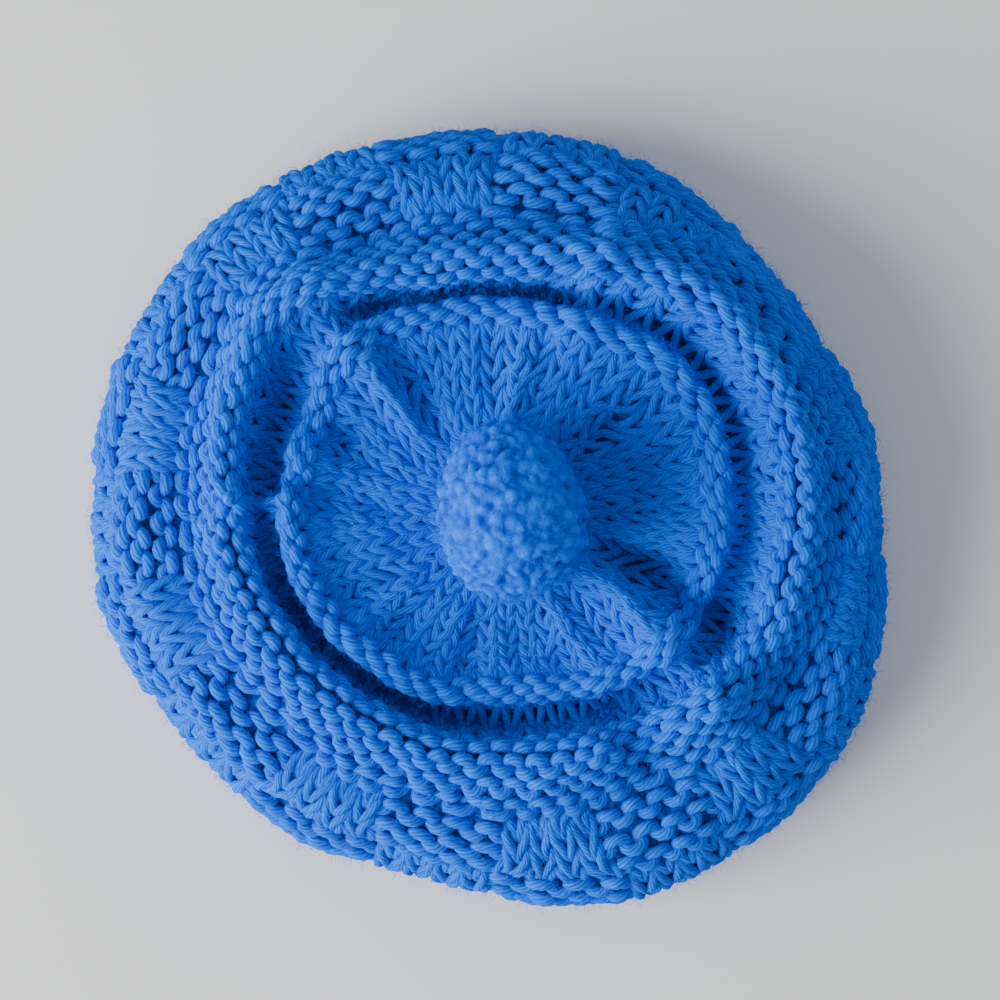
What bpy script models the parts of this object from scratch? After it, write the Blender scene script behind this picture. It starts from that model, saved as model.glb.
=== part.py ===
"""Knitted tam o'shanter, lying on its head band with its crown spread flat.

Three pieces: a thick knitted crown with a rolled welt and a textured rim, a ribbed head
band under it, and a pompom on its centre.  Metres, +Z up, the band stands on z = 0.
The sizes below are in millimetres.  Angles run anticlockwise from +X, seen from above.
"""
import math

import bmesh
import bpy
from mathutils import Vector

MM = 0.001

# Yarn and stitches
WALES = 80                # stitches round the crown
BLOCK_WALES = 4           # stitches in one block of the basket pattern
FABRIC_WALL = 5.0         # thickness of the knitted fabric
PIECE_GAP = 0.3           # free space between the crown and the head band

# Crown
CROWN_SHIFT_X = 1.5       # places the crown's outline evenly about the origin
SEAT_HEIGHT = 36.0        # crown centre, under the pompom
SEAT_RADIUS = 24.0
SEAT_RISE = 2.5           # how far the crown climbs from its centre to the seat's edge
RIDGE_STEP = 5.0          # from the purl ridge to its inner foot
RIDGE_FOOT_OUT = 0.45     # the ridge's outer foot, as shares of the way from the ridge
RIDGE_FOOT_UP = 0.35      # to the valley and from the valley's floor up to the ridge
BRINK_DROP = 2.5          # from the welt's crest down to the brink of its inner wall
CREASE_DROP = 10.0        # and down to the crease behind it
RIM_SHOULDER = 3.0        # from the rim in to where the side turns down
HEM_STEP = 5.0            # from the rim in to the crown's lowest line
UNDER_OUT = 0.32          # two places on the underside, as shares of the way
UNDER_MID = 0.62          # from the rim in to the head band
FLARE_STEP = 6.5          # from the band out to where the underside levels off
NECK_STEP = 1.2           # from the band out to the last bend above it
BLOCK_RELIEF = 1.2        # how far a purl block stands out from the knit blocks
TIERS = 2                 # rows of blocks that show in relief
FOLD_FLAT = 0.4           # share of a fold's length that keeps its full height
GATHER_FLAT = 0.5         # the same for the wheel's gathers

# Head band
BAND_RADIUS = 72.0        # outer side of its ribs
BAND_WALL = 5.0
BAND_HEIGHT = 18.0
RIB_WALES = 2             # stitches in a rib and in a groove
RIB_DEPTH = 1.0           # of a groove on the outer side
RIB_BACK_DEPTH = 0.5      # and behind it on the inner side
BAND_ROWS = 4

# Pompom
POMPOM_PLACE = (5.8, 2.7)
POMPOM_HALF = (25.0, 20.5, 19.5)   # half length, half width and half height
POMPOM_TURN = 101.0                # direction of its narrow end, degrees
POMPOM_TAPER = 0.17                # how much narrower that end is
POMPOM_SINK = 3.0                  # how far it is pressed down on its seat
POMPOM_GAP = 0.6                   # free space between it and the dish under it
POMPOM_AROUND = 52
POMPOM_ROWS = 30
LOCKS = 110
LOCK_HEIGHT = 1.5
LOCK_CREASE = 0.16                 # half width of the crease round a lock, radians

# Crown rings seen from above, one row every 15 degrees: distance from the crown's centre
# of the purl ridge, the valley behind it, the brink and the crease on either side of the
# welt, and the rim; then the heights of the welt's crest and of the valley's floor.
SECTIONS = (
    # angle ridge  valley  brink  crease  rim     crest  floor
    (0,     64.0,  71.5,   79.5,  95.5,   113.0,  50.5,  38.0),
    (15,    65.0,  72.0,   80.5,  95.5,   112.5,  51.5,  38.5),
    (30,    66.5,  72.5,   81.0,  95.0,   109.0,  52.5,  38.0),
    (45,    66.0,  71.5,   80.5,  94.0,   108.5,  53.5,  37.5),
    (60,    62.0,  68.5,   76.5,  91.0,   111.5,  54.0,  40.0),
    (75,    60.0,  65.5,   69.0,  86.0,   112.5,  53.0,  32.0),
    (90,    60.0,  64.0,   67.0,  84.5,   113.0,  51.0,  31.0),
    (105,   60.5,  64.5,   67.0,  84.5,   114.0,  50.5,  31.0),
    (120,   63.0,  69.5,   73.5,  87.5,   116.0,  51.5,  33.0),
    (135,   63.0,  73.5,   80.0,  95.0,   119.5,  52.5,  42.0),
    (150,   59.0,  70.5,   78.0,  91.5,   118.0,  50.5,  31.5),
    (165,   58.0,  68.5,   74.0,  88.5,   119.0,  48.5,  31.5),
    (180,   58.5,  66.5,   70.0,  87.0,   117.0,  48.0,  34.0),
    (195,   57.5,  64.5,   67.5,  86.0,   117.0,  48.5,  31.5),
    (210,   56.0,  62.5,   65.0,  84.5,   112.5,  49.5,  31.0),
    (225,   54.0,  60.0,   62.5,  83.0,   110.0,  50.5,  31.0),
    (240,   53.0,  59.5,   62.0,  82.0,   110.5,  51.0,  31.0),
    (255,   52.5,  59.5,   62.0,  81.5,   106.5,  50.5,  31.0),
    (270,   50.0,  59.0,   62.0,  82.5,   110.5,  51.0,  31.0),
    (285,   51.0,  60.0,   63.5,  84.0,   116.5,  52.5,  31.0),
    (300,   55.0,  63.5,   67.5,  85.0,   119.5,  53.0,  31.0),
    (315,   59.0,  67.5,   71.5,  90.0,   122.0,  53.0,  38.0),
    (330,   61.5,  71.5,   76.5,  94.5,   121.5,  51.0,  34.5),
    (345,   62.5,  71.5,   77.5,  96.0,   117.5,  50.0,  35.5),
)

# Folds and dents that lift or sink the crown locally, seen from above.  A fold runs from its
# inner to its outer distance, and its angle may drift on the way.
FOLDS = (
    # name             angle_in  angle_out  half_angle  inner  outer  lift
    ("lower_pleat",    331,      318,       11,         22,    96,    7.5),
    ("pleat_tail",     317,      315,       8,          80,    122,   4.0),
    ("pleat_wedge",    303,      303,       9,          58,    90,    -5.0),
    ("pleat_hollow",   346,      332,       9,          26,    80,    -9.5),
    ("pleat_slot",     331,      331,       6,          80,    100,   -4.0),
    ("upper_pleat",    67,       67,        8,          46,    98,    5.5),
    ("left_pleat",     130,      129,       10,         24,    92,    5.5),
    ("left_hollow",    152,      152,       10,         38,    70,    -5.5),
    ("side_tuck",      177,      175,       6,          54,    80,    8.0),
    ("lower_sag",      276,      276,       52,         16,    66,    -3.5),
    ("top_dent",       113,      113,       9,          82,    100,   -2.0),
    ("left_dent",      201,      201,       14,         84,    104,   -1.5),
    ("right_shoulder", 25,       25,        60,         80,    108,   2.0),
    ("rim_dent",       256,      256,       14,         90,    114,   -2.5),
)

# Gathers of the wheel where the yarn draws it in: waves round it, each with its own count.
GATHERS = (
    # count  turn  lift
    (13,     40,   0.8),
    (21,     110,  0.6),
)

# Height of the crown's outer side at each ring, the rows of faces from there to the next
# ring, and whether the inner side has a row there too.  Rings without a height follow the
# dish, the table of sections or the top of the head band.
RINGS = (
    # name        height  rows  lined
    ("seat_mid",  None,   1,    True),
    ("seat_edge", None,   2,    True),
    ("wheel",     39.5,   2,    True),
    ("ridge_in",  41.5,   1,    True),
    ("ridge",     45.5,   1,    False),
    ("ridge_out", None,   1,    True),
    ("valley",    None,   1,    True),
    ("wall",      None,   1,    True),
    ("brink",     None,   2,    True),
    ("crest",     None,   2,    True),
    ("crease",    None,   2,    True),
    ("tier",      38.0,   2,    True),
    ("rim_top",   26.5,   2,    True),
    ("rim",       14.5,   2,    True),
    ("hem",       4.5,    1,    True),
    ("under_out", 4.5,    1,    True),
    ("under_mid", 13.0,   1,    True),
    ("flare",     20.0,   1,    True),
    ("neck",      20.4,   1,    True),
    ("join",      None,   0,    True),
)
HEIGHTS = {name: height for name, height, rows, lined in RINGS}
UNDERSIDE = ("hem", "under_out", "under_mid", "flare", "neck", "join")


def bump(x, flat=0.0):
    """1 at x = 0 and out to the flat share, falling smoothly to 0 at x = -1 and x = 1."""
    away = max(0.0, (abs(x) - flat) / (1.0 - flat))
    if away >= 1.0:
        return 0.0
    return math.cos(away * math.pi / 2.0) ** 2


def through(a, b, c, d, t):
    """Smooth curve from b to c, shaped by the points a and d on either side."""
    return 0.5 * (2.0 * b + (c - a) * t + (2.0 * a - 5.0 * b + 4.0 * c - d) * t * t
                  + (3.0 * b - 3.0 * c + d - a) * t ** 3)


def section(angle):
    """Distances of the five rings and heights of crest and floor at any angle."""
    step = 360.0 / len(SECTIONS)
    index, part = divmod((angle % 360.0) / step, 1.0)
    rows = [SECTIONS[(int(index) + k) % len(SECTIONS)] for k in (-1, 0, 1, 2)]
    columns = range(1, len(SECTIONS[0]))
    return [through(*(row[column] for row in rows), part) for column in columns]


def fold_lift(angle, radius):
    """Height that the folds add to the top of the crown."""
    lift = 0.0
    for name, angle_in, angle_out, half_angle, inner, outer, height in FOLDS:
        share = min(1.0, max(0.0, (radius - inner) / (outer - inner)))
        middle = angle_in + (angle_out - angle_in) * share
        turn = (angle - middle + 180.0) % 360.0 - 180.0
        lift += height * bump(turn / half_angle) * bump(share * 2.0 - 1.0, FOLD_FLAT)
    return lift


def gather_lift(angle, radius, ridge):
    """Height that the gathers add between the dish and the ridge."""
    middle = (SEAT_RADIUS + ridge) / 2.0
    share = bump((radius - middle) / (ridge - middle), GATHER_FLAT)
    waves = sum(height * math.cos(math.radians(count * angle + turn))
                for count, turn, height in GATHERS)
    return waves * share


def seat_height(radius):
    """The shallow dish that the pompom is tied down into."""
    return SEAT_HEIGHT + SEAT_RISE * (radius / SEAT_RADIUS) ** 2


def ring_points(sizes):
    """Distance and height of each ring for the sizes of one section."""
    ridge, valley, brink, crease, rim, crest, floor = sizes
    distances = {
        "seat_mid": SEAT_RADIUS / 2.0,
        "seat_edge": SEAT_RADIUS,
        "wheel": (SEAT_RADIUS + ridge) / 2.0,
        "ridge_in": ridge - RIDGE_STEP,
        "ridge": ridge,
        "ridge_out": ridge + (valley - ridge) * RIDGE_FOOT_OUT,
        "valley": valley,
        "wall": (valley + brink) / 2.0,
        "brink": brink,
        "crest": (brink + crease) / 2.0,
        "crease": crease,
        "tier": (crease + rim) / 2.0,
        "rim_top": rim - RIM_SHOULDER,
        "rim": rim,
        "hem": rim - HEM_STEP,
        "under_out": rim - (rim - BAND_RADIUS) * UNDER_OUT,
        "under_mid": rim - (rim - BAND_RADIUS) * UNDER_MID,
        "flare": BAND_RADIUS + FLARE_STEP,
        "neck": BAND_RADIUS + NECK_STEP,
        "join": BAND_RADIUS,
    }
    heights = {
        **HEIGHTS,
        "seat_mid": seat_height(SEAT_RADIUS / 2.0),
        "seat_edge": seat_height(SEAT_RADIUS),
        "ridge_out": floor + (HEIGHTS["ridge"] - floor) * RIDGE_FOOT_UP,
        "valley": floor,
        "wall": (floor + crest - BRINK_DROP) / 2.0,
        "brink": crest - BRINK_DROP,
        "crest": crest,
        "crease": crest - CREASE_DROP,
        "join": BAND_HEIGHT + PIECE_GAP,
    }
    return [(distances[ring[0]], heights[ring[0]]) for ring in RINGS]


def outer_profile(angle, sizes):
    """Outer side of the crown at one angle, from its centre to the head band.

    Each point comes with a mark that says whether the inner side has a row there.
    """
    rings = ring_points(sizes)
    ridge = sizes[0]
    rim_height = HEIGHTS["rim"]
    points = []
    for k, (name, height, rows, lined) in enumerate(RINGS[:-1]):
        before = rings[k - 1] if k else (-rings[1][0] / 2.0, rings[0][1])
        after = rings[k + 2] if k + 2 < len(rings) else rings[k + 1]
        for row in range(rows):
            t = row / rows
            radius = through(before[0], rings[k][0], rings[k + 1][0], after[0], t)
            level = through(before[1], rings[k][1], rings[k + 1][1], after[1], t)
            share = min(1.0, max(0.0, (level - rim_height) / rim_height))
            if name not in UNDERSIDE:
                level += fold_lift(angle, radius) * share + gather_lift(angle, radius, ridge)
            points.append((radius, level, lined and row == 0))
    points.append((*rings[-1], True))
    return points


def block_step(angle, radius, sizes):
    """Relief of the basket pattern: purl blocks stand out, knit blocks lie back."""
    ridge, valley, brink, crease, rim, crest, floor = sizes
    tier = math.floor((radius - crease) / (rim - crease) * TIERS)
    if tier not in range(TIERS):
        return 0.0
    wale = math.floor(angle / 360.0 * WALES)
    block = (wale // BLOCK_WALES + tier) % 2
    return BLOCK_RELIEF * (block - 0.5)


def fabric_normals(points):
    """Directions out of the fabric, halfway between its slopes before and after a point."""
    slopes = []
    for a, b in zip(points, points[1:]):
        slopes.append(Vector((b[0] - a[0], b[1] - a[1])).normalized())
    normals = [(0.0, 1.0)]
    for before, after in zip(slopes, slopes[1:]):
        along = (before + after).normalized()
        normals.append((-along.y, along.x))
    normals.append((1.0, 0.0))
    return normals


def point_at(angle, radius, height):
    turn = math.radians(angle)
    return Vector(((CROWN_SHIFT_X + radius * math.cos(turn)) * MM,
                   radius * math.sin(turn) * MM, height * MM))


def crown_columns():
    """One closed loop of points for each wale: down the outer side, back up the inner."""
    columns = []
    for wale in range(WALES):
        angle = wale * 360.0 / WALES
        sizes = section(angle)
        outer = outer_profile(angle, sizes)
        skin = []
        lining = []
        for (radius, height, lined), (out_r, out_z) in zip(outer, fabric_normals(outer)):
            step = block_step(angle, radius, sizes) if height > HEIGHTS["rim"] else 0.0
            skin.append((radius + out_r * step, height + out_z * step))
            if lined:
                lining.append((radius - out_r * FABRIC_WALL, height - out_z * FABRIC_WALL))
        columns.append([point_at(angle, *p) for p in skin + lining[::-1]])
    return columns


def fan(mesh, pole, ring, upward):
    """Triangles that close a ring of vertices on one point."""
    count = len(ring)
    for k in range(count):
        corners = (pole, ring[k], ring[(k + 1) % count])
        mesh.faces.new(corners if upward else corners[::-1])


def skin_rows(mesh, rows, wrap):
    """Faces between neighbouring rows of vertices, each row a closed ring."""
    pairs = list(zip(rows, rows[1:]))
    if wrap:
        pairs.append((rows[-1], rows[0]))
    for upper, lower in pairs:
        count = len(upper)
        for k in range(count):
            n = (k + 1) % count
            mesh.faces.new((upper[k], lower[k], lower[n], upper[n]))


def material(name, colour, roughness):
    made = bpy.data.materials.new(name)
    made.use_nodes = True
    shader = made.node_tree.nodes["Principled BSDF"]
    shader.inputs["Base Color"].default_value = (*colour, 1.0)
    shader.inputs["Roughness"].default_value = roughness
    shader.inputs["Metallic"].default_value = 0.0
    return made


def add_piece(name, mesh, collection, finish):
    """Turn a bmesh into a named object with its own material."""
    data = bpy.data.meshes.new(name)
    mesh.to_mesh(data)
    mesh.free()
    data.materials.append(finish)
    data.shade_smooth()
    piece = bpy.data.objects.new(name, data)
    collection.objects.link(piece)
    return piece


def make_crown(collection):
    """Knitted crown: one soft wall from the centre over the rim to the head band."""
    mesh = bmesh.new()
    columns = crown_columns()
    rows = [[mesh.verts.new(column[k]) for column in columns]
            for k in range(len(columns[0]))]
    top = mesh.verts.new(point_at(0.0, 0.0, SEAT_HEIGHT))
    bottom = mesh.verts.new(point_at(0.0, 0.0, SEAT_HEIGHT - FABRIC_WALL))
    skin_rows(mesh, rows, wrap=False)
    fan(mesh, top, rows[0], upward=True)
    fan(mesh, bottom, rows[-1], upward=False)
    return add_piece("crown", mesh, collection, material("knit_blue", (0.12, 0.33, 0.80), 0.9))


def make_head_band(collection):
    """Ribbed band that grips the head and carries the hat when it lies down."""
    mesh = bmesh.new()
    outer_rows = []
    inner_rows = []
    for row in range(BAND_ROWS + 1):
        height = BAND_HEIGHT * row / BAND_ROWS
        outer_ring = []
        inner_ring = []
        for wale in range(WALES):
            angle = wale * 360.0 / WALES
            in_groove = (wale // RIB_WALES) % 2
            outer = BAND_RADIUS - RIB_DEPTH * in_groove
            inner = BAND_RADIUS - BAND_WALL - RIB_BACK_DEPTH * in_groove
            outer_ring.append(mesh.verts.new(point_at(angle, outer, height)))
            inner_ring.append(mesh.verts.new(point_at(angle, inner, height)))
        outer_rows.append(outer_ring)
        inner_rows.append(inner_ring)
    skin_rows(mesh, outer_rows[::-1] + inner_rows, wrap=True)
    return add_piece("head_band", mesh, collection,
                     material("rib_blue", (0.11, 0.30, 0.76), 0.9))


def lock_directions():
    """Even spread of directions over a sphere, one for each lock of the pompom."""
    golden = math.pi * (3.0 - math.sqrt(5.0))
    directions = []
    for k in range(LOCKS):
        z = 1.0 - (k + 0.5) * 2.0 / LOCKS
        ring = math.sqrt(1.0 - z * z)
        directions.append(Vector((ring * math.cos(golden * k), ring * math.sin(golden * k), z)))
    return directions


def make_pompom(collection):
    """Egg of cut yarn: a round head with its locks fused to it, pressed on its seat."""
    mesh = bmesh.new()
    bmesh.ops.create_uvsphere(mesh, u_segments=POMPOM_AROUND, v_segments=POMPOM_ROWS,
                              radius=1.0)
    locks = lock_directions()
    half_length, half_width, half_height = POMPOM_HALF
    centre_height = SEAT_HEIGHT + half_height - POMPOM_SINK
    turn = math.radians(POMPOM_TURN)
    crown_centre = Vector((CROWN_SHIFT_X, 0.0))
    for vert in mesh.verts:
        way = vert.co.normalized()
        near, second = sorted(way.angle(lock) for lock in locks)[:2]
        crease = 1.0 - min(1.0, (second - near) / LOCK_CREASE)
        taper = 1.0 - POMPOM_TAPER * way.x
        size = Vector((way.x * half_length, way.y * half_width * taper,
                       way.z * half_height * taper))
        size *= 1.0 - crease ** 2 * LOCK_HEIGHT / half_width
        x = POMPOM_PLACE[0] + size.x * math.cos(turn) - size.y * math.sin(turn)
        y = POMPOM_PLACE[1] + size.x * math.sin(turn) + size.y * math.cos(turn)
        floor = seat_height((Vector((x, y)) - crown_centre).length) + POMPOM_GAP
        vert.co = Vector((x, y, max(floor, centre_height + size.z))) * MM
    return add_piece("pompom", mesh, collection,
                     material("pompom_blue", (0.13, 0.35, 0.80), 0.95))


def clear_scene():
    for piece in list(bpy.data.objects):
        bpy.data.objects.remove(piece, do_unlink=True)


def main():
    clear_scene()
    parts = bpy.data.collections.new("tam_o_shanter")
    bpy.context.scene.collection.children.link(parts)
    make_crown(parts)
    make_head_band(parts)
    make_pompom(parts)


main()
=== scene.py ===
import math

import bmesh
import bpy
import numpy as np
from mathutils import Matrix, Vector, noise
from mathutils.bvhtree import BVHTree


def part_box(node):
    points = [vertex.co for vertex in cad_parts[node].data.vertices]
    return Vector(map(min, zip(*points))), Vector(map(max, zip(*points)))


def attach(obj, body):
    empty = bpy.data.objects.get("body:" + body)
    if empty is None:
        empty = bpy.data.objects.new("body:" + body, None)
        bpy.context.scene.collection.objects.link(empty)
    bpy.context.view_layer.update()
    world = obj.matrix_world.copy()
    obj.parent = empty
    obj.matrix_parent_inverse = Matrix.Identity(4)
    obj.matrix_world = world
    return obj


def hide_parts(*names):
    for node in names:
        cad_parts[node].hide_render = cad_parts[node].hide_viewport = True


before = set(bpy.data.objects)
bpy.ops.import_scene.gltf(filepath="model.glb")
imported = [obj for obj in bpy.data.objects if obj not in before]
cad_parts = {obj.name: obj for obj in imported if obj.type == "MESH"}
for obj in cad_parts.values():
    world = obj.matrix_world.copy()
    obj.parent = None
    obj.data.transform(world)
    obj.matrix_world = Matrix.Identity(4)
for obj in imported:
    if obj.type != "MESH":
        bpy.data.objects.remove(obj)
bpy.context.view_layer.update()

# ---------------------------------------------------------------------------------------
# Head band.  The ribbed band that grips the head, in thick, soft, four-ply wool.  The hat
# is begun here: the first stitches are cast on in the round and worked in rib, two knit
# and two purl, and each round is a closed chain of loops drawn through the round before.
# ---------------------------------------------------------------------------------------

# Chart of the hat, in the order it is knitted: the band, out under the crown, round the rim
# and in to the centre.  k is a stitch that shows its two legs outside, p one that shows its
# head and foot; the letters are one repeat, and ten repeats go round.  A stretch ends at a
# row of the crown's solid, counted outwards from its centre.
CHART = (
    # stretch       rounds  repeat      ends at row
    ("head_band",   3,      "kkppkkpp", 28.0),
    ("underside",   7,      "kkkkkkkk", 23.0),
    ("rim_blocks",  2,      "kkkkpppp", 20.7),
    ("side_blocks", 3,      "ppppkkkk", 17.7),
    ("top_blocks",  3,      "kkkkpppp", 15.0),
    ("welt",        4,      "ppppppp",  10.0),
    ("valley",      3,      "kkkkkk",   7.35),
    ("ridge",       2,      "ppppp",    5.45),
    ("wheel",       2,      "kkkkk",    3.9),
    ("wheel",       2,      "kkkk",     2.65),
    ("wheel",       2,      "kkk",      1.55),
    ("wheel",       2,      "kk",       0.52),
    ("wheel",       1,      "k",        0.0),
)
# Middle of each knit block of the top blocks, in degrees round the crown.
BLOCK_ANGLES = (18, 59, 99, 132, 165, 198, 239, 280, 315, 347)
BLOCK_STITCHES = 4
ANGLE_STEPS = 8            # finer angles to one of them
KNIT_SHARE = 0.433         # of a repeat of blocks; purl stitches lie wider
WALES = 80                 # columns of the crown's solid
JOIN_ROW = 28              # its last row outside, where it meets the head band
JOIN_STEPS = 4             # rows on the band's outside
ROW_STEPS = 6              # finer rows to one row of the solid
TURN_STEPS = 4             # finer columns to one column of the solid
REACH_STEPS = 8            # rows of the finished surface to one round
RIDGE_STRETCH = 7          # its place in the chart
RIDGE_ROUNDING = 1.8       # rounds to each side of the ridge that are rounded
RIDGE_LIFT = 0.0018        # how far its purl loops stand out
ROUNDING_PASSES = 26
YARN_RADIUS = 0.0016
LOOP_POINTS = 18           # to one stitch
LOOP_DEPTH = 0.00150       # how far a loop passes in front of and behind the fabric's middle
FRONT_SHARE = 0.2          # what shows of a stitch stays outside for longer than the rest
LOOP_FLATNESS = 0.07       # squares off a loop's head and foot
KNIT_SWAY = 2.0            # how far the legs of a knit stitch lean into a V
PURL_SWAY = 1.20           # the same of a purl stitch, which sets its head's width
KNIT_REACH = 0.92          # rounds from a loop's middle to a head or foot behind the fabric
PURL_REACH = 0.75          # and to one in front of it
CAST_ON_LIFT = 0.0050      # edge of the first round above the table
CAST_ON_WAVE = 0.0007      # how far the cast-on strand winds in and out
KNIT_THICKER = -0.17       # share by which the yarn is thicker in front; knit legs are slimmer
PURL_THICKER = 0.14
FOOT_SPAN = math.pi / 3    # part of a loop, from its foot, that the stitch beside it pulls on
WANDERS = ((0.011, 0.0010), (0.0050, 0.0007))  # size and reach of the yarn's strays
STRAY_SEED = 7             # without a seed they would differ from run to run
UNEVEN = 0.16              # how much its thickness varies
UNEVEN_SIZE = 0.005
WELD_GAP = 1e-6            # points of a solid that are closer than this are one


def merged_solid(name):
    """Copy of a solid's mesh with its loose triangles joined."""
    mesh = bmesh.new()
    mesh.from_mesh(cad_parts[name].data)
    bmesh.ops.remove_doubles(mesh, verts=mesh.verts, dist=WELD_GAP)
    return mesh


def solid_columns(name, columns):
    """Centre of a solid's top and the points of its rows outwards, a column for each wale."""
    mesh = merged_solid(name)
    pole = max((v for v in mesh.verts if len(v.link_edges) == columns), key=lambda v: v.co.z)
    centre = pole.co.copy()

    def wale(vert):
        turn = math.atan2(vert.co.y - centre.y, vert.co.x - centre.x)
        return round(turn / math.tau * columns) % columns

    found = []
    for edge in pole.link_edges:
        first = edge.other_vert(pole)
        walk = [first]
        seen = {pole, first}
        while True:
            ahead = [e.other_vert(walk[-1]) for e in walk[-1].link_edges]
            ahead = [v for v in ahead if v not in seen and wale(v) == wale(first)
                     and len(v.link_edges) != columns]
            if not ahead:
                break
            walk.append(ahead[0])
            seen.add(ahead[0])
        found.append((wale(first), [tuple(v.co - centre) for v in walk]))
    mesh.free()
    found.sort(key=lambda item: item[0])
    return np.array(centre), np.array([walk for number, walk in found])


def smooth_steps(values, steps, closed):
    """Catmull-Rom points along the first axis, `steps` from each value to the next."""
    if closed:
        padded = np.concatenate([values[-1:], values, values[:2]])
    else:
        padded = np.concatenate([2 * values[:1] - values[1:2], values,
                                 2 * values[-1:] - values[-2:-1]])
    a, b, c, d = padded[:-3], padded[1:-2], padded[2:-1], padded[3:]
    out = []
    for step in range(steps):
        t = step / steps
        out.append(0.5 * (2 * b + (c - a) * t + (2 * a - 5 * b + 4 * c - d) * t * t
                          + (3 * b - 3 * c + d - a) * t ** 3))
    joined = np.stack(out, axis=1).reshape((-1,) + values.shape[1:])
    return joined if closed else np.concatenate([joined, values[-1:]])


# One surface from the cast-on edge to the centre: the band's outside, then the crown's.
centre, outside = solid_columns("crown", WALES)
band_low, band_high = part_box("head_band")
band_radius = (band_high.x - band_low.x) / 2
turns = np.arange(WALES) * math.tau / WALES
ring = np.stack([np.cos(turns) * band_radius, np.sin(turns) * band_radius], axis=1)
levels = np.linspace(0.0, band_high.z, JOIN_STEPS, endpoint=False)
band_rows = [np.column_stack([ring, np.full(WALES, level - centre[2])]) for level in levels]
crown_rows = [outside[:, row] for row in range(JOIN_ROW - 1, -1, -1)]
rows = smooth_steps(np.stack(band_rows + crown_rows + [np.zeros((WALES, 3))]), ROW_STEPS,
                    closed=False)
steps_along = np.linalg.norm(np.diff(rows, axis=0), axis=2)
arcs = np.concatenate([np.zeros((1, WALES)), np.cumsum(steps_along, axis=0)])

# How far up each column a round ends, at even distances within a stretch.
ends = [np.full(WALES, CAST_ON_LIFT)]
for stretch, count, repeat, row in CHART:
    place = (JOIN_STEPS + JOIN_ROW - row) * ROW_STEPS
    low = int(min(place, len(arcs) - 2))
    start = ends[-1]
    stop = arcs[low] + (arcs[low + 1] - arcs[low]) * (place - low)
    ends += [start + (stop - start) * (number + 1) / count for number in range(count)]
ends = np.array(ends)
round_count = len(ends) - 1

# The same surface with even steps to a round, its outward directions, and the fabric's middle.
grid_rounds = np.arange(-1.0, round_count + 1e-6, 1 / REACH_STEPS)
surface = np.empty((len(grid_rounds), WALES, 3))
for wale in range(WALES):
    lifts = np.append(2 * ends[0, wale] - ends[1, wale], ends[:, wale])
    along = np.interp(grid_rounds, np.arange(-1, round_count + 1), lifts)
    for axis in range(3):
        surface[:, wale, axis] = np.interp(along, arcs[:, wale], rows[:, wale, axis])
    surface[:, wale, 2] += np.minimum(along, 0.0)
# The wool is too thick to bend sharply, so the surface is rounded at the ridge.
ridge_round = sum(count for stretch, count, repeat, row in CHART[:RIDGE_STRETCH])
ridge_round += CHART[RIDGE_STRETCH][1] / 2
near_ridge = np.clip(RIDGE_ROUNDING - np.abs(grid_rounds - ridge_round), 0, 1)
for number in range(ROUNDING_PASSES):
    even = (surface[:-2] + surface[2:]) / 2
    surface[1:-1] += (even - surface[1:-1]) * near_ridge[1:-1, None, None] / 2
surface = smooth_steps(surface.transpose(1, 0, 2), TURN_STEPS, closed=True)
surface = surface.transpose(1, 0, 2) + centre
around = np.roll(surface, -1, axis=1) - np.roll(surface, 1, axis=1)
facing = np.cross(around, np.gradient(surface, axis=0))
facing[-1] = (0.0, 0.0, 1.0)
facing /= np.maximum(np.linalg.norm(facing, axis=2, keepdims=True), 1e-12)
offset = RIDGE_LIFT * near_ridge - YARN_RADIUS - LOOP_DEPTH
middle = surface + facing * offset[:, None, None]


def on_fabric(turn, at_round):
    """Points in the middle of the fabric and its outward directions."""
    column = (turn / math.tau * middle.shape[1]) % middle.shape[1]
    row = np.clip((at_round + 1.0) * REACH_STEPS, 0.0, len(grid_rounds) - 1.001)
    c0 = np.floor(column).astype(int) % middle.shape[1]
    c1 = (c0 + 1) % middle.shape[1]
    r0 = np.floor(row).astype(int)
    cf = (column - np.floor(column))[..., None]
    rf = (row - r0)[..., None]
    answers = []
    for field in (middle, facing):
        low = field[r0, c0] * (1 - cf) + field[r0, c1] * cf
        high = field[r0 + 1, c0] * (1 - cf) + field[r0 + 1, c1] * cf
        answers.append(low * (1 - rf) + high * rf)
    place, out = answers
    return place, out / np.linalg.norm(out, axis=-1, keepdims=True)


def repeat_edges(repeat):
    """Left edge and width of each stitch of one repeat, as shares of the repeat."""
    count = len(repeat)
    blocks = repeat[0] * BLOCK_STITCHES + repeat[-1] * BLOCK_STITCHES
    if repeat != blocks or repeat[0] == repeat[-1]:
        return np.arange(count) / count, np.full(count, 1 / count)
    lefts = []
    widths = []
    for number, letter in enumerate(repeat):
        block = number // BLOCK_STITCHES
        width = (KNIT_SHARE if letter == "k" else 1 - KNIT_SHARE) / BLOCK_STITCHES
        from_middle = number % BLOCK_STITCHES - BLOCK_STITCHES / 2
        lefts.append((KNIT_SHARE + block) / 2 + from_middle * width)
        widths.append(width)
    return np.array(lefts), np.array(widths)


repeats = len(BLOCK_ANGLES)
rounds = []
for stretch, count, repeat, row in CHART:
    lefts, widths = repeat_edges(repeat)
    sides = [1.0 if letter == "k" else -1.0 for letter in repeat]
    rounds += [{"stretch": stretch, "count": len(repeat),
                "lefts": np.tile(lefts, repeats) + np.repeat(np.arange(repeats), len(repeat)),
                "widths": np.tile(widths, repeats), "side": np.tile(sides, repeats)}] * count

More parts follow.
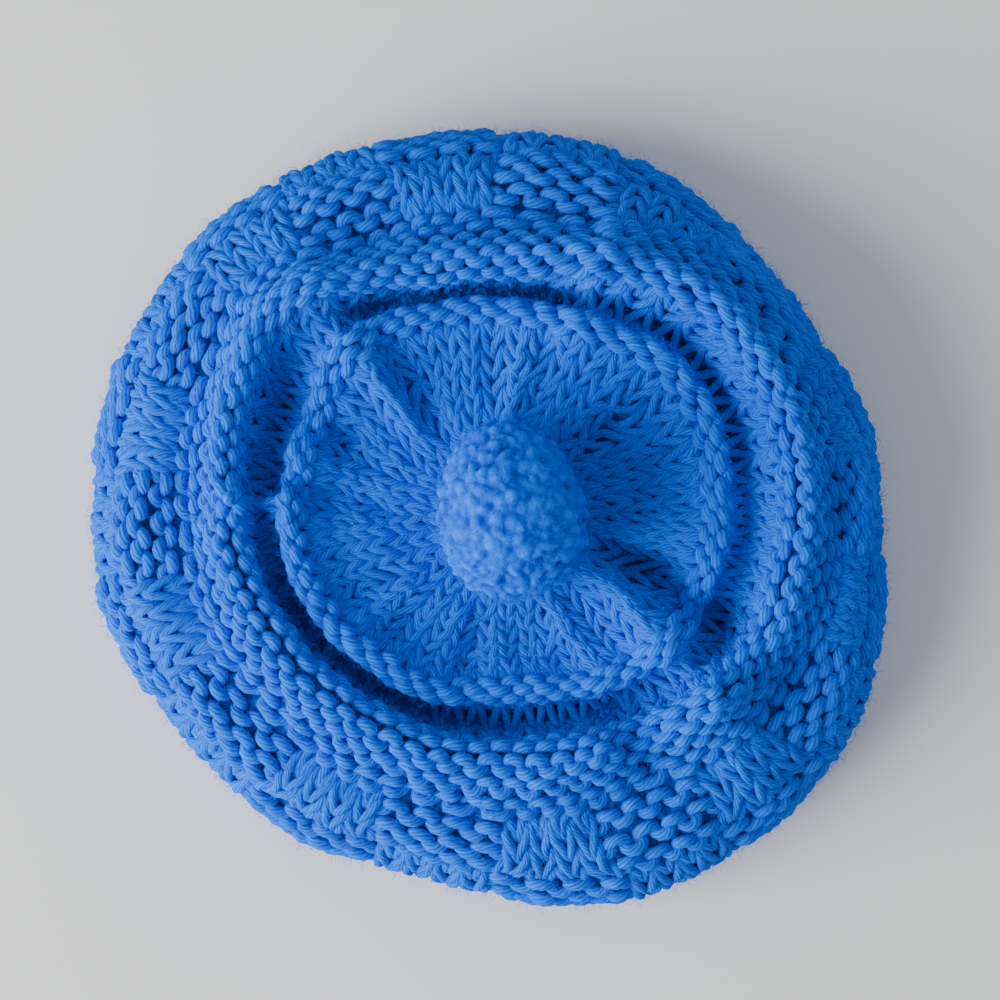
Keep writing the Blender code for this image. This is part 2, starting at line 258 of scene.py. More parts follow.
# The repeats are spread round the crown so that each knit block has its own middle.
numbers = np.arange(-2, repeats + 3)
degrees = np.array(BLOCK_ANGLES)[numbers % repeats] + 360.0 * (numbers // repeats)
smooth_middles = smooth_steps(numbers + KNIT_SHARE / 2, ANGLE_STEPS, closed=False)
smooth_degrees = smooth_steps(degrees, ANGLE_STEPS, closed=False)


def neighbour(number, other):
    """Each stitch's partner in a neighbouring round: its left edge, width and side."""
    here = rounds[number]
    there = rounds[other] if 0 <= other < len(rounds) else here
    m, n = here["count"], there["count"]
    index = np.arange(repeats * m)
    repeat, stitch = index // m, index % m
    first = repeat * n + np.minimum(stitch, n - 1)
    second = np.where((stitch == m - 1) & (n > m), repeat * n + n - 1, first)
    lefts = (there["lefts"][first] + there["lefts"][second]) / 2
    return lefts[:, None], there["widths"][first][:, None], there["side"][first][:, None]


def eased(x):
    """Smooth start and end for a value from 0 to 1."""
    return x * x * (3 - 2 * x)


def loop_chain(number):
    """Points of one round of loops, their thickness, outward direction and height."""
    t = (np.arange(LOOP_POINTS) / LOOP_POINTS * math.tau)[None, :]
    left, width, side = (rounds[number][key][:, None] for key in ("lefts", "widths", "side"))
    next_left, next_width, next_side = neighbour(number, number + 1)
    last_left, last_width, last_side = neighbour(number, number - 1)
    # A foot shares its side with the stitch beside it, a head lies on the next round's side.
    beside = np.where(t < math.pi, np.roll(side, 1, axis=0), np.roll(side, -1, axis=0))
    near_foot = eased(np.clip(1 - np.minimum(t, math.tau - t) / FOOT_SPAN, 0, 1))
    rise = eased((1 - np.cos(t)) / 2)
    shown = (side + (beside - side) * 0.5 * near_foot) * (1 - rise) + next_side * rise
    knit_part = (1 + shown) / 2
    sway = PURL_SWAY + (KNIT_SWAY - PURL_SWAY) * knit_part
    reach = PURL_REACH + (KNIT_REACH - PURL_REACH) * knit_part
    across = (t + sway * np.sin(2 * t)) / math.tau
    up = -reach * (np.cos(t) - LOOP_FLATNESS * np.cos(3 * t)) / (1 - LOOP_FLATNESS)
    share = np.abs(up)
    other_left = np.where(up > 0, next_left, last_left)
    other_width = np.where(up > 0, next_width, last_width)
    at = (1 - share) * (left + across * width) + share * (other_left + across * other_width)
    turn = np.radians(np.interp(at, smooth_middles, smooth_degrees))
    depth = FRONT_SHARE * np.abs(shown) - shown * np.cos(2 * t)
    place, out = on_fabric(turn, number + 0.5 + up)
    place = place + out * (depth * LOOP_DEPTH)[..., None]
    thicker = PURL_THICKER + (KNIT_THICKER - PURL_THICKER) * knit_part
    return (place.reshape(-1, 3), (1 + thicker * depth).reshape(-1),
            out.reshape(-1, 3), (depth * LOOP_DEPTH).reshape(-1))


def new_piece(name, data):
    """New object in the scene, at its origin."""
    piece = bpy.data.objects.new(name, data)
    bpy.context.scene.collection.objects.link(piece)
    return piece


noise.seed_set(STRAY_SEED)


def yarn_lines(name, chains):
    """Loose lines, one closed chain for each round, that the yarn is made along."""
    points = []
    thickness = []
    edges = []
    for chain, thick, out, height in chains:
        start = len(points)
        for place, share in zip(chain, thick):
            place = Vector(place)
            stray = sum((noise.noise_vector(place / size) * reach for size, reach in WANDERS),
                        Vector())
            points.append(place + stray)
            thickness.append(share * (1 + UNEVEN * noise.noise(place / UNEVEN_SIZE)))
        size = len(points) - start
        edges += [(start + k, start + (k + 1) % size) for k in range(size)]
    mesh = bpy.data.meshes.new(name)
    mesh.from_pydata(points, edges, [])
    mesh.attributes.new("thick", "FLOAT", "POINT").data.foreach_set("value", thickness)
    heights = np.concatenate([height for chain, thick, out, height in chains])
    mesh.attributes.new("lift", "FLOAT", "POINT").data.foreach_set("value", heights)
    outs = np.concatenate([out for chain, thick, out, height in chains])
    mesh.attributes.new("out", "FLOAT_VECTOR", "POINT").data.foreach_set("vector", outs.ravel())
    return new_piece(name, mesh)


def new_tree(name, inputs):
    """Geometry Nodes tree with its group nodes and named inputs."""
    tree = bpy.data.node_groups.new(name, "GeometryNodeTree")
    tree.interface.new_socket("Geometry", in_out="INPUT", socket_type="NodeSocketGeometry")
    for label, kind, value in inputs:
        socket = tree.interface.new_socket(label, in_out="INPUT", socket_type=kind)
        if value is not None:
            socket.default_value = value
    tree.interface.new_socket("Geometry", in_out="OUTPUT", socket_type="NodeSocketGeometry")
    return tree, tree.nodes.new("NodeGroupInput"), tree.nodes.new("NodeGroupOutput")


def node(tree, kind, *links, **settings):
    """New node with its properties set and (socket, source) pairs linked or filled in."""
    made = tree.nodes.new(kind)
    for key, value in settings.items():
        setattr(made, key, value)
    for socket, source in links:
        if isinstance(source, bpy.types.NodeSocket):
            tree.links.new(source, made.inputs[socket])
        else:
            made.inputs[socket].default_value = source
    return made


def maths(tree, operation, *values):
    """Math node's result; values are numbers or other nodes' sockets."""
    return node(tree, "ShaderNodeMath", *enumerate(values), operation=operation).outputs[0]


def close_tree(tree, start, end, geometry):
    """End a tree with real, smooth geometry in the material it is given."""
    real = node(tree, "GeometryNodeRealizeInstances", (0, geometry))
    soft = node(tree, "GeometryNodeSetShadeSmooth", (0, real.outputs[0]))
    done = node(tree, "GeometryNodeSetMaterial", (0, soft.outputs[0]),
                ("Material", start.outputs["Material"]))
    tree.links.new(done.outputs[0], end.inputs[0])
    return tree


YARN_SIDES = 8
PLY_PITCH = 0.018          # length of yarn in which its plies make one turn


def yarn_tree():
    """Round yarn along each line; stores the turn of its plies and its height in the wool."""
    tree, start, end = new_tree("plied_yarn", (
        ("Yarn radius", "NodeSocketFloat", YARN_RADIUS),
        ("Sides", "NodeSocketInt", YARN_SIDES),
        ("Ply pitch", "NodeSocketFloat", PLY_PITCH),
        ("Material", "NodeSocketMaterial", None),
    ))
    line = node(tree, "GeometryNodeMeshToCurve", (0, start.outputs["Geometry"]))
    thick = node(tree, "GeometryNodeInputNamedAttribute", ("Name", "thick"), data_type="FLOAT")
    line = node(tree, "GeometryNodeSetCurveRadius", (0, line.outputs[0]),
                ("Radius", thick.outputs["Attribute"]))
    length = node(tree, "GeometryNodeSplineLength").outputs["Length"]
    whole = maths(tree, "ROUND", maths(tree, "DIVIDE", length, start.outputs["Ply pitch"]))
    factor = node(tree, "GeometryNodeSplineParameter").outputs["Factor"]
    line = node(tree, "GeometryNodeStoreNamedAttribute", (0, line.outputs[0]),
                ("Name", "along"), ("Value", maths(tree, "MULTIPLY", factor, whole)))
    line = node(tree, "GeometryNodeStoreNamedAttribute", (0, line.outputs[0]),
                ("Name", "core"), data_type="FLOAT_VECTOR")
    place = node(tree, "GeometryNodeInputPosition").outputs[0]
    tree.links.new(place, line.inputs["Value"])
    ring = node(tree, "GeometryNodeCurvePrimitiveCircle",
                ("Resolution", start.outputs["Sides"]), ("Radius", start.outputs["Yarn radius"]))
    factor = node(tree, "GeometryNodeSplineParameter").outputs["Factor"]
    ring = node(tree, "GeometryNodeStoreNamedAttribute", (0, ring.outputs[0]),
                ("Name", "around"), ("Value", factor))
    tube = node(tree, "GeometryNodeCurveToMesh", (0, line.outputs[0]), (1, ring.outputs[0]),
                ("Scale", node(tree, "GeometryNodeInputRadius").outputs[0]))
    around, along = (node(tree, "GeometryNodeInputNamedAttribute", ("Name", name),
                          data_type="FLOAT").outputs["Attribute"] for name in ("around", "along"))
    angle = maths(tree, "MULTIPLY", maths(tree, "ADD", around, along), math.tau)
    # The third value runs there and back along the yarn, so it has no seam.
    swing = maths(tree, "MULTIPLY", maths(tree, "PINGPONG", along, 0.5),
                  maths(tree, "DIVIDE", start.outputs["Ply pitch"], start.outputs["Yarn radius"]))
    turn = node(tree, "ShaderNodeCombineXYZ", ("X", maths(tree, "COSINE", angle)),
                ("Y", maths(tree, "SINE", angle)), ("Z", swing))
    clean = node(tree, "GeometryNodeStoreNamedAttribute", (0, tube.outputs[0]), ("Name", "ply"),
                 data_type="FLOAT_VECTOR")
    tree.links.new(turn.outputs[0], clean.inputs["Value"])
    core, out = (node(tree, "GeometryNodeInputNamedAttribute", ("Name", name),
                      data_type="FLOAT_VECTOR").outputs["Attribute"] for name in ("core", "out"))
    lift = node(tree, "GeometryNodeInputNamedAttribute", ("Name", "lift"), data_type="FLOAT")
    side = node(tree, "ShaderNodeVectorMath", (0, place), (1, core), operation="SUBTRACT")
    rise = node(tree, "ShaderNodeVectorMath", (0, side.outputs[0]), (1, out),
                operation="DOT_PRODUCT")
    height = maths(tree, "DIVIDE", maths(tree, "ADD", rise.outputs["Value"],
                                         lift.outputs["Attribute"]), YARN_RADIUS + LOOP_DEPTH)
    clean = node(tree, "GeometryNodeStoreNamedAttribute", (0, clean.outputs[0]),
                 ("Name", "height"), ("Value", height))
    for name in ("around", "along", "thick", "core", "out", "lift"):
        clean = node(tree, "GeometryNodeRemoveAttribute", (0, clean.outputs[0]), ("Name", name))
    return close_tree(tree, start, end, clean.outputs[0])


def settle(piece):
    """Turn an object and its modifiers into a plain mesh."""
    graph = bpy.context.evaluated_depsgraph_get()
    graph.update()
    mesh = bpy.data.meshes.new_from_object(piece.evaluated_get(graph))
    piece.modifiers.clear()
    mesh.name = piece.name
    piece.data = mesh
    return mesh


def grow(piece, tree, **values):
    """Run a tree on an object, with these values for its inputs, and settle it."""
    mod = piece.modifiers.new(tree.name, "NODES")
    mod.node_group = tree
    for item in tree.interface.items_tree:
        label = item.name.lower().replace(" ", "_")
        if item.in_out == "INPUT" and label in values:
            mod[item.identifier] = values[label]
    settle(piece)
    return piece


# The darkest blue is painted shade, for wool that lies deep between and behind the loops.
YARN_PAINTED_SHADE = (0.001, 0.046, 0.36)
YARN_DARK = (0.001, 0.072, 0.50)
YARN_BLUE = (0.001, 0.128, 0.78)
YARN_LIGHT = (0.003, 0.215, 0.97)
FULL_SHADE_HEIGHT = -0.50        # wool at this height in the fabric has the full painted shade
UNSHADED_HEIGHT = 0.70         # and from this height on it has no painted shade
SHEEN_BLUE = (0.04, 0.30, 1.0, 1.0)
STRANDS = 4                # creases show at twice this number round the yarn
LOOSENESS = 4.4            # how far loose fibres bend the creases
LOOSE_SCALE = 260.0        # waves of loose fibres to a metre
PATCH_SCALE = 45.0         # and of slow changes of tone
FIBRE_SCALE = 2.4          # fibres across the yarn
FIBRE_PULL = 0.16          # how far they are drawn out along it
PLY_CREASE_SHADE = 0.38         # shares of the plies' painted crease shade, a patch and the least fibre in the tone
PATCH_TONE = 0.20
FIBRE_BASE = 0.30
YARN_RELIEF = 0.0006       # height of the strands and fibres on the yarn
YARN_STOPS = ((0.25, YARN_DARK), (0.80, YARN_LIGHT), (0.55, YARN_BLUE))


def tones(tree, amount, stops):
    """Colour ramp through (position, colour) stops."""
    ramp = node(tree, "ShaderNodeValToRGB", ("Fac", amount))
    for number, (position, colour) in enumerate(stops):
        elements = ramp.color_ramp.elements
        stop = elements[number] if number < 2 else elements.new(position)
        stop.position = position
        stop.color = (*colour, 1)
    return ramp.outputs[0]


def mottle(tree, place, scale, detail, roughness=0.5, distortion=0.0):
    """Noise from 0 to 1 over a surface."""
    return node(tree, "ShaderNodeTexNoise", ("Vector", place), ("Scale", scale),
                ("Detail", detail), ("Roughness", roughness),
                ("Distortion", distortion)).outputs["Fac"]


def roughen(tree, shader, height, distance, strength=1.0):
    """Small relief on a shader's surface."""
    bump = node(tree, "ShaderNodeBump", ("Height", height), ("Distance", distance),
                ("Strength", strength))
    tree.links.new(bump.outputs[0], shader.inputs["Normal"])


def wool_shader(name):
    """New material, its tree, its shader set for matt wool, and places on the piece."""
    made = bpy.data.materials.new(name)
    made.use_nodes = True
    shader = made.node_tree.nodes["Principled BSDF"]
    shader.inputs["Roughness"].default_value = 0.95
    shader.inputs["Specular IOR Level"].default_value = 0.08
    shader.inputs["Sheen Weight"].default_value = 0.20
    shader.inputs["Sheen Roughness"].default_value = 0.5
    shader.inputs["Sheen Tint"].default_value = SHEEN_BLUE
    place = node(made.node_tree, "ShaderNodeTexCoord").outputs["Object"]
    return made, made.node_tree, shader, place


def yarn_material():
    """Plied wool with loose fibres and drifting tone; painted shade in its ply creases and deep
    in the fabric.
    """
    made, tree, shader, place = wool_shader("yarn_blue")
    ply = node(tree, "ShaderNodeAttribute", attribute_name="ply").outputs["Vector"]
    split = node(tree, "ShaderNodeSeparateXYZ", (0, ply))
    turn = maths(tree, "ARCTAN2", split.outputs["Y"], split.outputs["X"])
    drift = mottle(tree, place, LOOSE_SCALE, 3.0)
    patch = mottle(tree, place, PATCH_SCALE, 2.0)
    pulled = node(tree, "ShaderNodeMapping", ("Vector", ply), ("Scale", (1.0, 1.0, FIBRE_PULL)))
    fibre = mottle(tree, pulled.outputs[0], FIBRE_SCALE, 4.0, 0.65)
    loose = maths(tree, "MULTIPLY", maths(tree, "SUBTRACT", drift, 0.5), LOOSENESS)
    # Painted shade in the creases between plies, lighter on their crowns; the wave is also their
    # bump.
    strand = maths(tree, "MULTIPLY_ADD", turn, float(STRANDS), loose)
    strand = maths(tree, "SQRT", maths(tree, "ABSOLUTE", maths(tree, "COSINE", strand)))
    fibre_tone = maths(tree, "SUBTRACT", fibre, FIBRE_BASE)
    mixed = maths(tree, "MULTIPLY_ADD", strand, PLY_CREASE_SHADE, fibre_tone)
    mixed = maths(tree, "MULTIPLY_ADD", patch, PATCH_TONE, mixed)
    outer = tones(tree, mixed, YARN_STOPS)
    # Painted shade: wool that lies deep in the fabric is mixed towards the darkest blue.
    lift = node(tree, "ShaderNodeAttribute", attribute_name="height").outputs["Fac"]
    lift = node(tree, "ShaderNodeMapRange", ("Value", lift), ("From Min", FULL_SHADE_HEIGHT),
                ("From Max", UNSHADED_HEIGHT), interpolation_type="SMOOTHSTEP")
    shade = node(tree, "ShaderNodeMix", ("Factor", lift.outputs[0]), (6, (*YARN_PAINTED_SHADE, 1)),
                 (7, outer), data_type="RGBA")
    tree.links.new(shade.outputs[2], shader.inputs["Base Color"])
    height = maths(tree, "MULTIPLY_ADD", strand, 0.5, fibre)
    roughen(tree, shader, height, YARN_RELIEF, 0.8)
    return made


yarn_blue = yarn_material()
plied_yarn = yarn_tree()


def stand_for(piece, solid):
    """Attach a piece to the root and hide the solid that it stands for."""
    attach(piece, "root")
    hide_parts(solid)
    return piece


def knit(name, stretches, solid, edge=(), sides=YARN_SIDES):
    """Knit the named stretches, with any edge strands, as one piece that stands for a solid."""
    chains = [loop_chain(number) for number, item in enumerate(rounds)
              if item["stretch"] in stretches]
    piece = grow(yarn_lines(name, list(edge) + chains), plied_yarn, material=yarn_blue,
                 sides=sides)
    return stand_for(piece, solid)


def cast_on_strand():
    """The strand that holds the feet of the first loops, lying on the table."""
    count = len(rounds[0]["side"]) * LOOP_POINTS // 2
    turn = np.arange(count) / count * math.tau
    wave = np.sin(turn * len(rounds[0]["side"])) * CAST_ON_WAVE
    radius = band_radius - YARN_RADIUS - LOOP_DEPTH + wave
    level = YARN_RADIUS + sum(reach for size, reach in WANDERS)
    out = np.column_stack([np.cos(turn), np.sin(turn), np.zeros(count)])
    chain = out * radius[:, None] + np.array([centre[0], 0.0, level])
    return chain, np.ones(count), out, np.zeros(count)


knit("rib", ("head_band",), "head_band", edge=(cast_on_strand(),))

# ---------------------------------------------------------------------------------------
# Underside.  Plain stockinette that leaves the band and widens to the rim; it lies almost
# flat under the crown and is hidden when the hat is worn.
# ---------------------------------------------------------------------------------------
HIDDEN_SIDES = 6           # yarn that is seldom seen is less round

knit("underside", ("underside",), "crown", sides=HIDDEN_SIDES)

# ---------------------------------------------------------------------------------------
# Outer blocks.  Basket pattern over the rim and up the side: blocks of four knit and four
# purl stitches that change places every few rounds, so that they stand out and lie back.
# Fine hairs of the wool stand off it, as off all that is seen of the hat.
# ---------------------------------------------------------------------------------------
HAIR_DENSITY = 215000.0    # to a square metre of the yarn's outer side
HAIR_HEIGHT = 0.45         # least height in the fabric at which they show
HAIR_LEVEL = 0.004         # and above the table, which they would meet
HAIR_RADIUS = 0.00005
HAIR_LENGTH = 0.0026
HAIR_BEND = 0.0005         # how far a hair's middle is bent out of line
HAIR_WAIST = 0.0001        # points this near to half its length are its middle
HAIR_LEANS = (0.3, 1.5)    # least and most lean
HAIR_SIZES = (0.6, 1.5)    # and size
HAIR_TONE_SCALE = 90.0     # changes of tone to a metre


def hair_tree():
    """Fine bent hairs on the outer side of the wool, each turned, leant and sized by chance."""
    tree, start, end = new_tree("loose_hairs", (
        ("Density", "NodeSocketFloat", HAIR_DENSITY),
        ("Least height", "NodeSocketFloat", HAIR_HEIGHT),
        ("Least level", "NodeSocketFloat", HAIR_LEVEL),
        ("Hair radius", "NodeSocketFloat", HAIR_RADIUS),
        ("Half length", "NodeSocketFloat", HAIR_LENGTH / 2),
        ("Bend", "NodeSocketFloat", HAIR_BEND),
        ("Seed", "NodeSocketInt", 11),
        ("Material", "NodeSocketMaterial", None),
    ))
    height = node(tree, "GeometryNodeInputNamedAttribute", ("Name", "height"), data_type="FLOAT")
    above = maths(tree, "GREATER_THAN", height.outputs["Attribute"],
                  start.outputs["Least height"])
    place = node(tree, "GeometryNodeInputPosition").outputs[0]
    level = node(tree, "ShaderNodeSeparateXYZ", (0, place)).outputs["Z"]
    clear = maths(tree, "GREATER_THAN", level, start.outputs["Least level"])
    spread = node(tree, "GeometryNodeDistributePointsOnFaces", (0, start.outputs["Geometry"]),
                  ("Selection", maths(tree, "MULTIPLY", above, clear)),
                  ("Density", start.outputs["Density"]), ("Seed", start.outputs["Seed"]))
    hair = node(tree, "GeometryNodeMeshUVSphere", ("Segments", 3), ("Rings", 2), ("Radius", 1.0))
    slim = node(tree, "ShaderNodeCombineXYZ", ("X", start.outputs["Hair radius"]),
                ("Y", start.outputs["Hair radius"]), ("Z", start.outputs["Half length"]))
    rise = node(tree, "ShaderNodeCombineXYZ", ("Z", start.outputs["Half length"]))
    hair = node(tree, "GeometryNodeTransform", (0, hair.outputs[0]),
                ("Translation", rise.outputs[0]), ("Scale", slim.outputs[0]))
    middle_ring = maths(tree, "COMPARE", level, start.outputs["Half length"], HAIR_WAIST)
    side = node(tree, "ShaderNodeCombineXYZ", ("Y", start.outputs["Bend"]))
    hair = node(tree, "GeometryNodeSetPosition", (0, hair.outputs[0]), ("Selection", middle_ring),
                ("Offset", side.outputs[0]))
    spin = node(tree, "FunctionNodeRandomValue", ("Min", (HAIR_LEANS[0], 0.0, 0.0)),
                ("Max", (HAIR_LEANS[1], 0.0, math.tau)), ("Seed", start.outputs["Seed"]),
                data_type="FLOAT_VECTOR")
    lean = node(tree, "FunctionNodeRotateRotation", (0, spread.outputs["Rotation"]),
                (1, spin.outputs[0]), rotation_space="LOCAL")
    size = node(tree, "FunctionNodeRandomValue", (2, HAIR_SIZES[0]), (3, HAIR_SIZES[1]),
                ("Seed", start.outputs["Seed"]))
    hairs = node(tree, "GeometryNodeInstanceOnPoints", (0, spread.outputs["Points"]),
                 ("Instance", hair.outputs[0]), ("Rotation", lean.outputs[0]),
                 ("Scale", size.outputs[1]))
    return close_tree(tree, start, end, hairs.outputs[0])


def hair_material():
    """Fine fibres of the yarn, coloured lighter than it as painted light shining through them."""
    made, tree, shader, place = wool_shader("hair_blue")
    drift = mottle(tree, place, HAIR_TONE_SCALE, 2.0)
    tree.links.new(tones(tree, drift, ((0.3, YARN_BLUE), (0.7, YARN_LIGHT))),
                   shader.inputs["Base Color"])
    return made


hair_blue = hair_material()
loose_hairs = hair_tree()


def shed_hairs(piece, solid, slot, **values):
    """Hairs that stand off a piece of the wool."""
    hairs = new_piece(piece.name + "_hairs", piece.data.copy())
    return stand_for(grow(hairs, loose_hairs, material=hair_blue, **values), solid)


shed_hairs(knit("outer_blocks", ("rim_blocks", "side_blocks"), "crown"),
           "crown", "crown_knit")

# ---------------------------------------------------------------------------------------
# Top blocks.  The last tier of the basket pattern, on top of the hat outside the welt,
# knitted straight on from the outer blocks.
# ---------------------------------------------------------------------------------------
shed_hairs(knit("top_blocks", ("top_blocks",), "crown"),
           "crown", "crown_knit")

# ---------------------------------------------------------------------------------------
# Welt.  Four rounds of purl that roll up by themselves into a thick ring, because purl
# curls towards its smooth side.
# ---------------------------------------------------------------------------------------
shed_hairs(knit("welt", ("welt",), "crown"),
           "crown", "crown_knit")

# ---------------------------------------------------------------------------------------
# Wheel.  Stockinette from the valley behind the welt to the centre, with two purl rounds
# that stand up as a ridge.  Stitches are knitted two together in every second round.
# ---------------------------------------------------------------------------------------
shed_hairs(knit("wheel", ("valley", "ridge", "wheel"), "crown"),
           "crown", "crown_knit")

# ---------------------------------------------------------------------------------------
# Fibre mat.  The loose hairs of the wool mat together between the loops and close the
# gaps of the fabric, a little behind the middle of the loops.  The mat is real matted
# hair; its darker colour is painted shade in the gaps.
# ---------------------------------------------------------------------------------------
MAT_DEPTH = 0.0003         # behind the fabric's middle
MAT_WALL = 0.0006
MAT_ROW_STEP = 5           # rows and columns of the fabric's surface to one of the mat
MAT_TURN_STEP = 2
MAT_FIRST_ROW = 6          # just above the cast-on edge
MAT_SCALE = 1500.0         # hairs to a metre
MAT_RELIEF = 0.0004


def mat_material():
    """Felted hairs, coloured darker than the yarn as painted shade for lying deep in the gaps."""
    made, tree, shader, place = wool_shader("mat_blue")
    hairs = mottle(tree, place, MAT_SCALE, 3.0, distortion=2.0)
    # Painted shade: the mat runs from the darkest to the dark blue, darker than the yarn.
    tree.links.new(tones(tree, hairs, ((0.3, YARN_PAINTED_SHADE), (0.7, YARN_DARK))),
                   shader.inputs["Base Color"])
    roughen(tree, shader, hairs, MAT_RELIEF)
    return made


def sheet_piece(name, sheet):
    """Object made of rows of points, closed round and at the last row."""
    mesh = bmesh.new()
    verts = [[mesh.verts.new(place) for place in line] for line in sheet[:-1]]
    pole = mesh.verts.new(sheet[-1].mean(axis=0))
    for low, high in zip(verts, verts[1:]):
        for k in range(len(low)):
            n = (k + 1) % len(low)
            mesh.faces.new((low[k], low[n], high[n], high[k]))
    for k, vert in enumerate(verts[-1]):
        mesh.faces.new((vert, verts[-1][(k + 1) % len(verts[-1])], pole))
    data = bpy.data.meshes.new(name)
    mesh.to_mesh(data)
    mesh.free()
    return new_piece(name, data)


sheet = (middle - facing * MAT_DEPTH)[MAT_FIRST_ROW::MAT_ROW_STEP, ::MAT_TURN_STEP]
mat = sheet_piece("fibre_mat", sheet)
mat.data.materials.append(mat_material())
mat.modifiers.new("wall", "SOLIDIFY").thickness = MAT_WALL
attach(mat, "root")
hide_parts("crown", "head_band")

# ---------------------------------------------------------------------------------------
# Pompom.  Hundreds of cut ends of the same yarn, bound at the middle, trimmed to an egg
# and tied down on the crown's centre; the ends have felted into soft crumbs.
# ---------------------------------------------------------------------------------------
CRUMB_GAP = 0.0023         # least distance between two crumbs
CRUMB_RADIUS = 0.0026
CRUMB_SINK = 0.0020        # how deep their middles lie
CRUMB_VOXEL = 0.00042
CRUMB_DENSITY = 600000.0   # most to a square metre
CRUMB_LEAST = (0.65, 0.55, 0.75)   # least and most stretch of a crumb along its three axes
CRUMB_MOST = (1.45, 1.15, 1.3)
CRUMB_LEAN = 0.6
LEAN_SEED = 3
TIP_RANGE = 0.0028         # from the deepest pit to the highest tip
PILE_SCALE = 1400.0        # fibres and clumps to a metre
CLUMP_SCALE = 420.0
PILE_RELIEF = 0.0008
PILE_STOPS = ((0.2, YARN_DARK), (0.8, YARN_LIGHT), (0.5, YARN_BLUE))
PILE_HAIR_DENSITY = 1000000.0
ANY_HEIGHT = -1.0


def crumb_tree():
    """Soft crumbs over an egg, each with its own size and lean."""
    tree, start, end = new_tree("felted_crumbs", (
        ("Crumb gap", "NodeSocketFloat", CRUMB_GAP),
        ("Crumb radius", "NodeSocketFloat", CRUMB_RADIUS),
        ("Sink", "NodeSocketFloat", CRUMB_SINK),
        ("Seed", "NodeSocketInt", 7),
        ("Material", "NodeSocketMaterial", None),
    ))
    normal = node(tree, "GeometryNodeInputNormal").outputs[0]
    sunk = node(tree, "ShaderNodeVectorMath", (0, normal), operation="SCALE")
    tree.links.new(maths(tree, "MULTIPLY", start.outputs["Sink"], -1.0), sunk.inputs["Scale"])
    inner = node(tree, "GeometryNodeSetPosition", (0, start.outputs["Geometry"]),
                 ("Offset", sunk.outputs[0]))
    spread = node(tree, "GeometryNodeDistributePointsOnFaces", (0, inner.outputs[0]),
                  ("Distance Min", start.outputs["Crumb gap"]), ("Density Max", CRUMB_DENSITY),
                  ("Seed", start.outputs["Seed"]), distribute_method="POISSON")
    ball = node(tree, "GeometryNodeMeshIcoSphere", ("Radius", start.outputs["Crumb radius"]),
                ("Subdivisions", 2))
    size = node(tree, "FunctionNodeRandomValue", ("Min", CRUMB_LEAST), ("Max", CRUMB_MOST),
                ("Seed", start.outputs["Seed"]), data_type="FLOAT_VECTOR")
    spin = node(tree, "FunctionNodeRandomValue", ("Min", (0.0, 0.0, 0.0)),
                ("Max", (CRUMB_LEAN, CRUMB_LEAN, math.tau)), ("Seed", LEAN_SEED),
                data_type="FLOAT_VECTOR")
    lean = node(tree, "FunctionNodeRotateRotation", (0, spread.outputs["Rotation"]),
                (1, spin.outputs[0]), rotation_space="LOCAL")
    crumbs = node(tree, "GeometryNodeInstanceOnPoints", (0, spread.outputs["Points"]),
                  ("Instance", ball.outputs[0]), ("Rotation", lean.outputs[0]),
                  ("Scale", size.outputs[0]))
    joined = node(tree, "GeometryNodeJoinGeometry", (0, crumbs.outputs[0]))
    tree.links.new(inner.outputs[0], joined.inputs[0])
    return close_tree(tree, start, end, joined.outputs[0])


def pile_material():
    """Felted cut ends, with painted shade in the pits and painted light on the crumbs."""
    made, tree, shader, place = wool_shader("pile_blue")
    tip = node(tree, "ShaderNodeAttribute", attribute_name="tip").outputs["Fac"]
    fibre = mottle(tree, place, PILE_SCALE, 3.0, 0.65)
    clump = mottle(tree, place, CLUMP_SCALE, 2.0)
    # Painted shade and light: the lower a point lies between the crumbs, the darker its colour.
    mixed = maths(tree, "MULTIPLY_ADD", tip, 0.6,
                  maths(tree, "MULTIPLY", maths(tree, "ADD", fibre, clump), 0.2))
    tree.links.new(tones(tree, mixed, PILE_STOPS), shader.inputs["Base Color"])
    height = maths(tree, "MULTIPLY_ADD", clump, 0.6, maths(tree, "MULTIPLY", fibre, 0.5))
    roughen(tree, shader, height, PILE_RELIEF, 0.8)
    return made


pile_blue = pile_material()
egg = merged_solid("pompom")
base = BVHTree.FromBMesh(egg)
data = bpy.data.meshes.new("pompom_pile")
egg.to_mesh(data)
egg.free()
pompom = new_piece("pompom_pile", data)
grow(pompom, crumb_tree(), material=pile_blue)
felt = pompom.modifiers.new("felt", "REMESH")
felt.mode = "VOXEL"
felt.voxel_size = CRUMB_VOXEL
felt.use_smooth_shade = True
felted = settle(pompom)
felted.materials.clear()
felted.materials.append(pile_blue)
# Height of each point over the egg, which the pile colour turns into painted shade and light.
tips = []
for vert in felted.vertices:
    near, normal, index, distance = base.find_nearest(vert.co)
    tips.append(min(1.0, max(0.0, 0.5 + (vert.co - near).dot(normal) / TIP_RANGE)))
felted.attributes.new("tip", "FLOAT", "POINT").data.foreach_set("value", tips)
stand_for(pompom, "pompom")
shed_hairs(pompom, "pompom", "pompom_yarn", density=PILE_HAIR_DENSITY,
           least_height=ANY_HEIGHT)

# ---------------------------------------------------------------------------------------
# Floor.  A plain pale matt surface that the hat lies on, with its cast-on edge down.
# It is no part of the hat.
# ---------------------------------------------------------------------------------------
FLOOR_SIZE = 4.0
FLOOR_PALE = (0.80, 0.81, 0.80, 1)

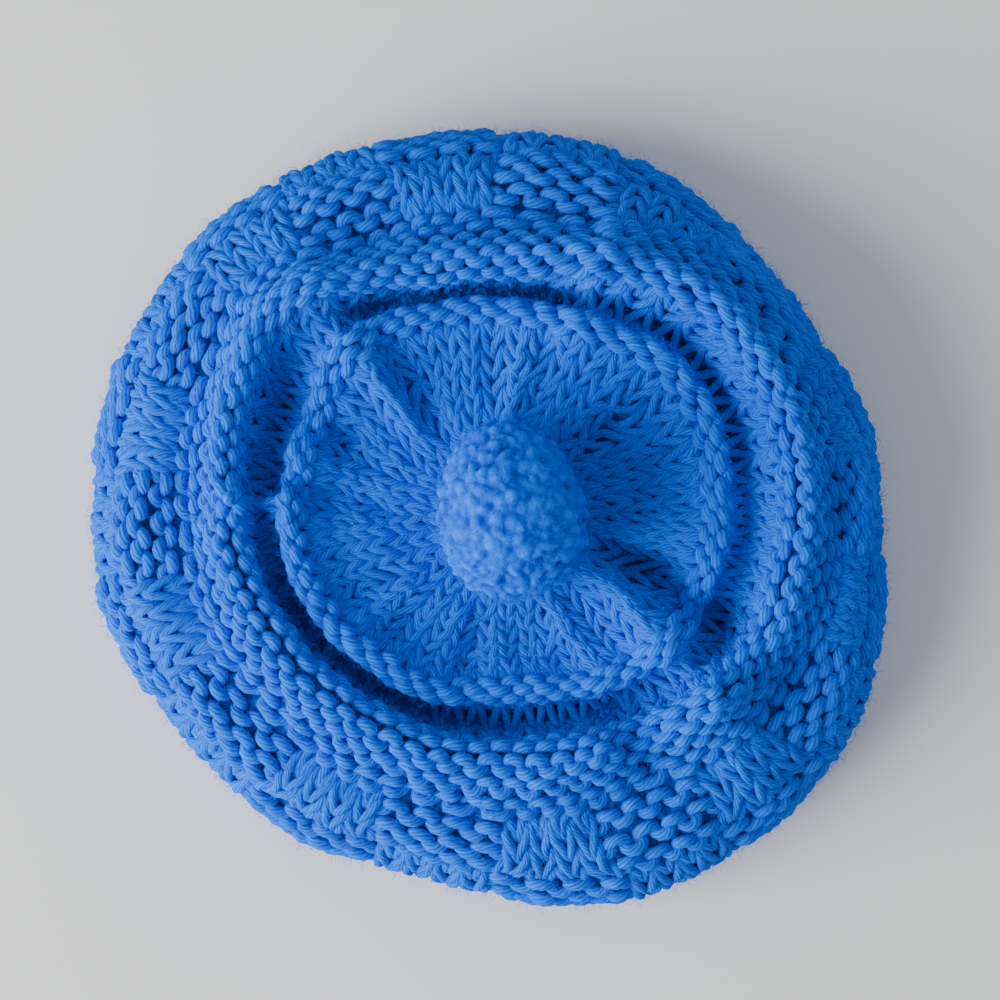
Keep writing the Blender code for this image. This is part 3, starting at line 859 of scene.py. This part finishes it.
bpy.ops.mesh.primitive_plane_add(size=FLOOR_SIZE, location=(0, 0, 0))
floor = bpy.context.object
floor.name = "floor"
floor_paint = bpy.data.materials.new("floor_pale")
floor_paint.use_nodes = True
floor_shader = floor_paint.node_tree.nodes["Principled BSDF"]
floor_shader.inputs["Base Color"].default_value = FLOOR_PALE
floor_shader.inputs["Roughness"].default_value = 0.9
floor.data.materials.append(floor_paint)

# ---------------------------------------------------------------------------------------
# Light.  A broad low lamp from the left and a little below in the view, as from a window,
# with a weak one from the far side and the pale light of the room.
# ---------------------------------------------------------------------------------------
LAMPS = (
    # name     place               size  watts  tint
    ("window",  (-1.00, -0.36, 0.54), 1.2, 35.0, (1.0, 0.99, 0.97)),
    ("room",    (0.85, 0.50, 0.55),   1.4, 3.0,  (0.95, 0.97, 1.0)),
)
ROOM_COLOUR = (0.85, 0.9, 1.0, 1)
ROOM_STRENGTH = 0.41

for name, place, size, watts, tint in LAMPS:
    lamp = bpy.data.lights.new(name, "AREA")
    lamp.shape = "DISK"
    lamp.size = size
    lamp.energy = watts
    lamp.color = tint
    holder = new_piece(name, lamp)
    holder.location = place
    holder.rotation_euler = (-Vector(place)).to_track_quat("-Z", "Y").to_euler()
room = bpy.data.worlds.new("room")
room.use_nodes = True
walls = room.node_tree.nodes["Background"]
walls.inputs["Color"].default_value = ROOM_COLOUR
walls.inputs["Strength"].default_value = ROOM_STRENGTH
bpy.context.scene.world = room

# ---------------------------------------------------------------------------------------
# Camera.  Straight above the hat, as in the photo, which is square.  It looks straight down,
# and its lens is set so that the rim comes out at the photo's scale.
# ---------------------------------------------------------------------------------------
CAMERA_PLACE = (0.00296, 0.00496, 0.70)
RIM_HEIGHT = 0.015
VIEW_WIDTH = 0.292         # what the photo's width shows at the rim's height

camera = bpy.data.cameras.new("camera")
camera.lens = camera.sensor_width * (CAMERA_PLACE[2] - RIM_HEIGHT) / VIEW_WIDTH
holder = new_piece("camera", camera)
holder.location = CAMERA_PLACE
bpy.context.scene.camera = holder
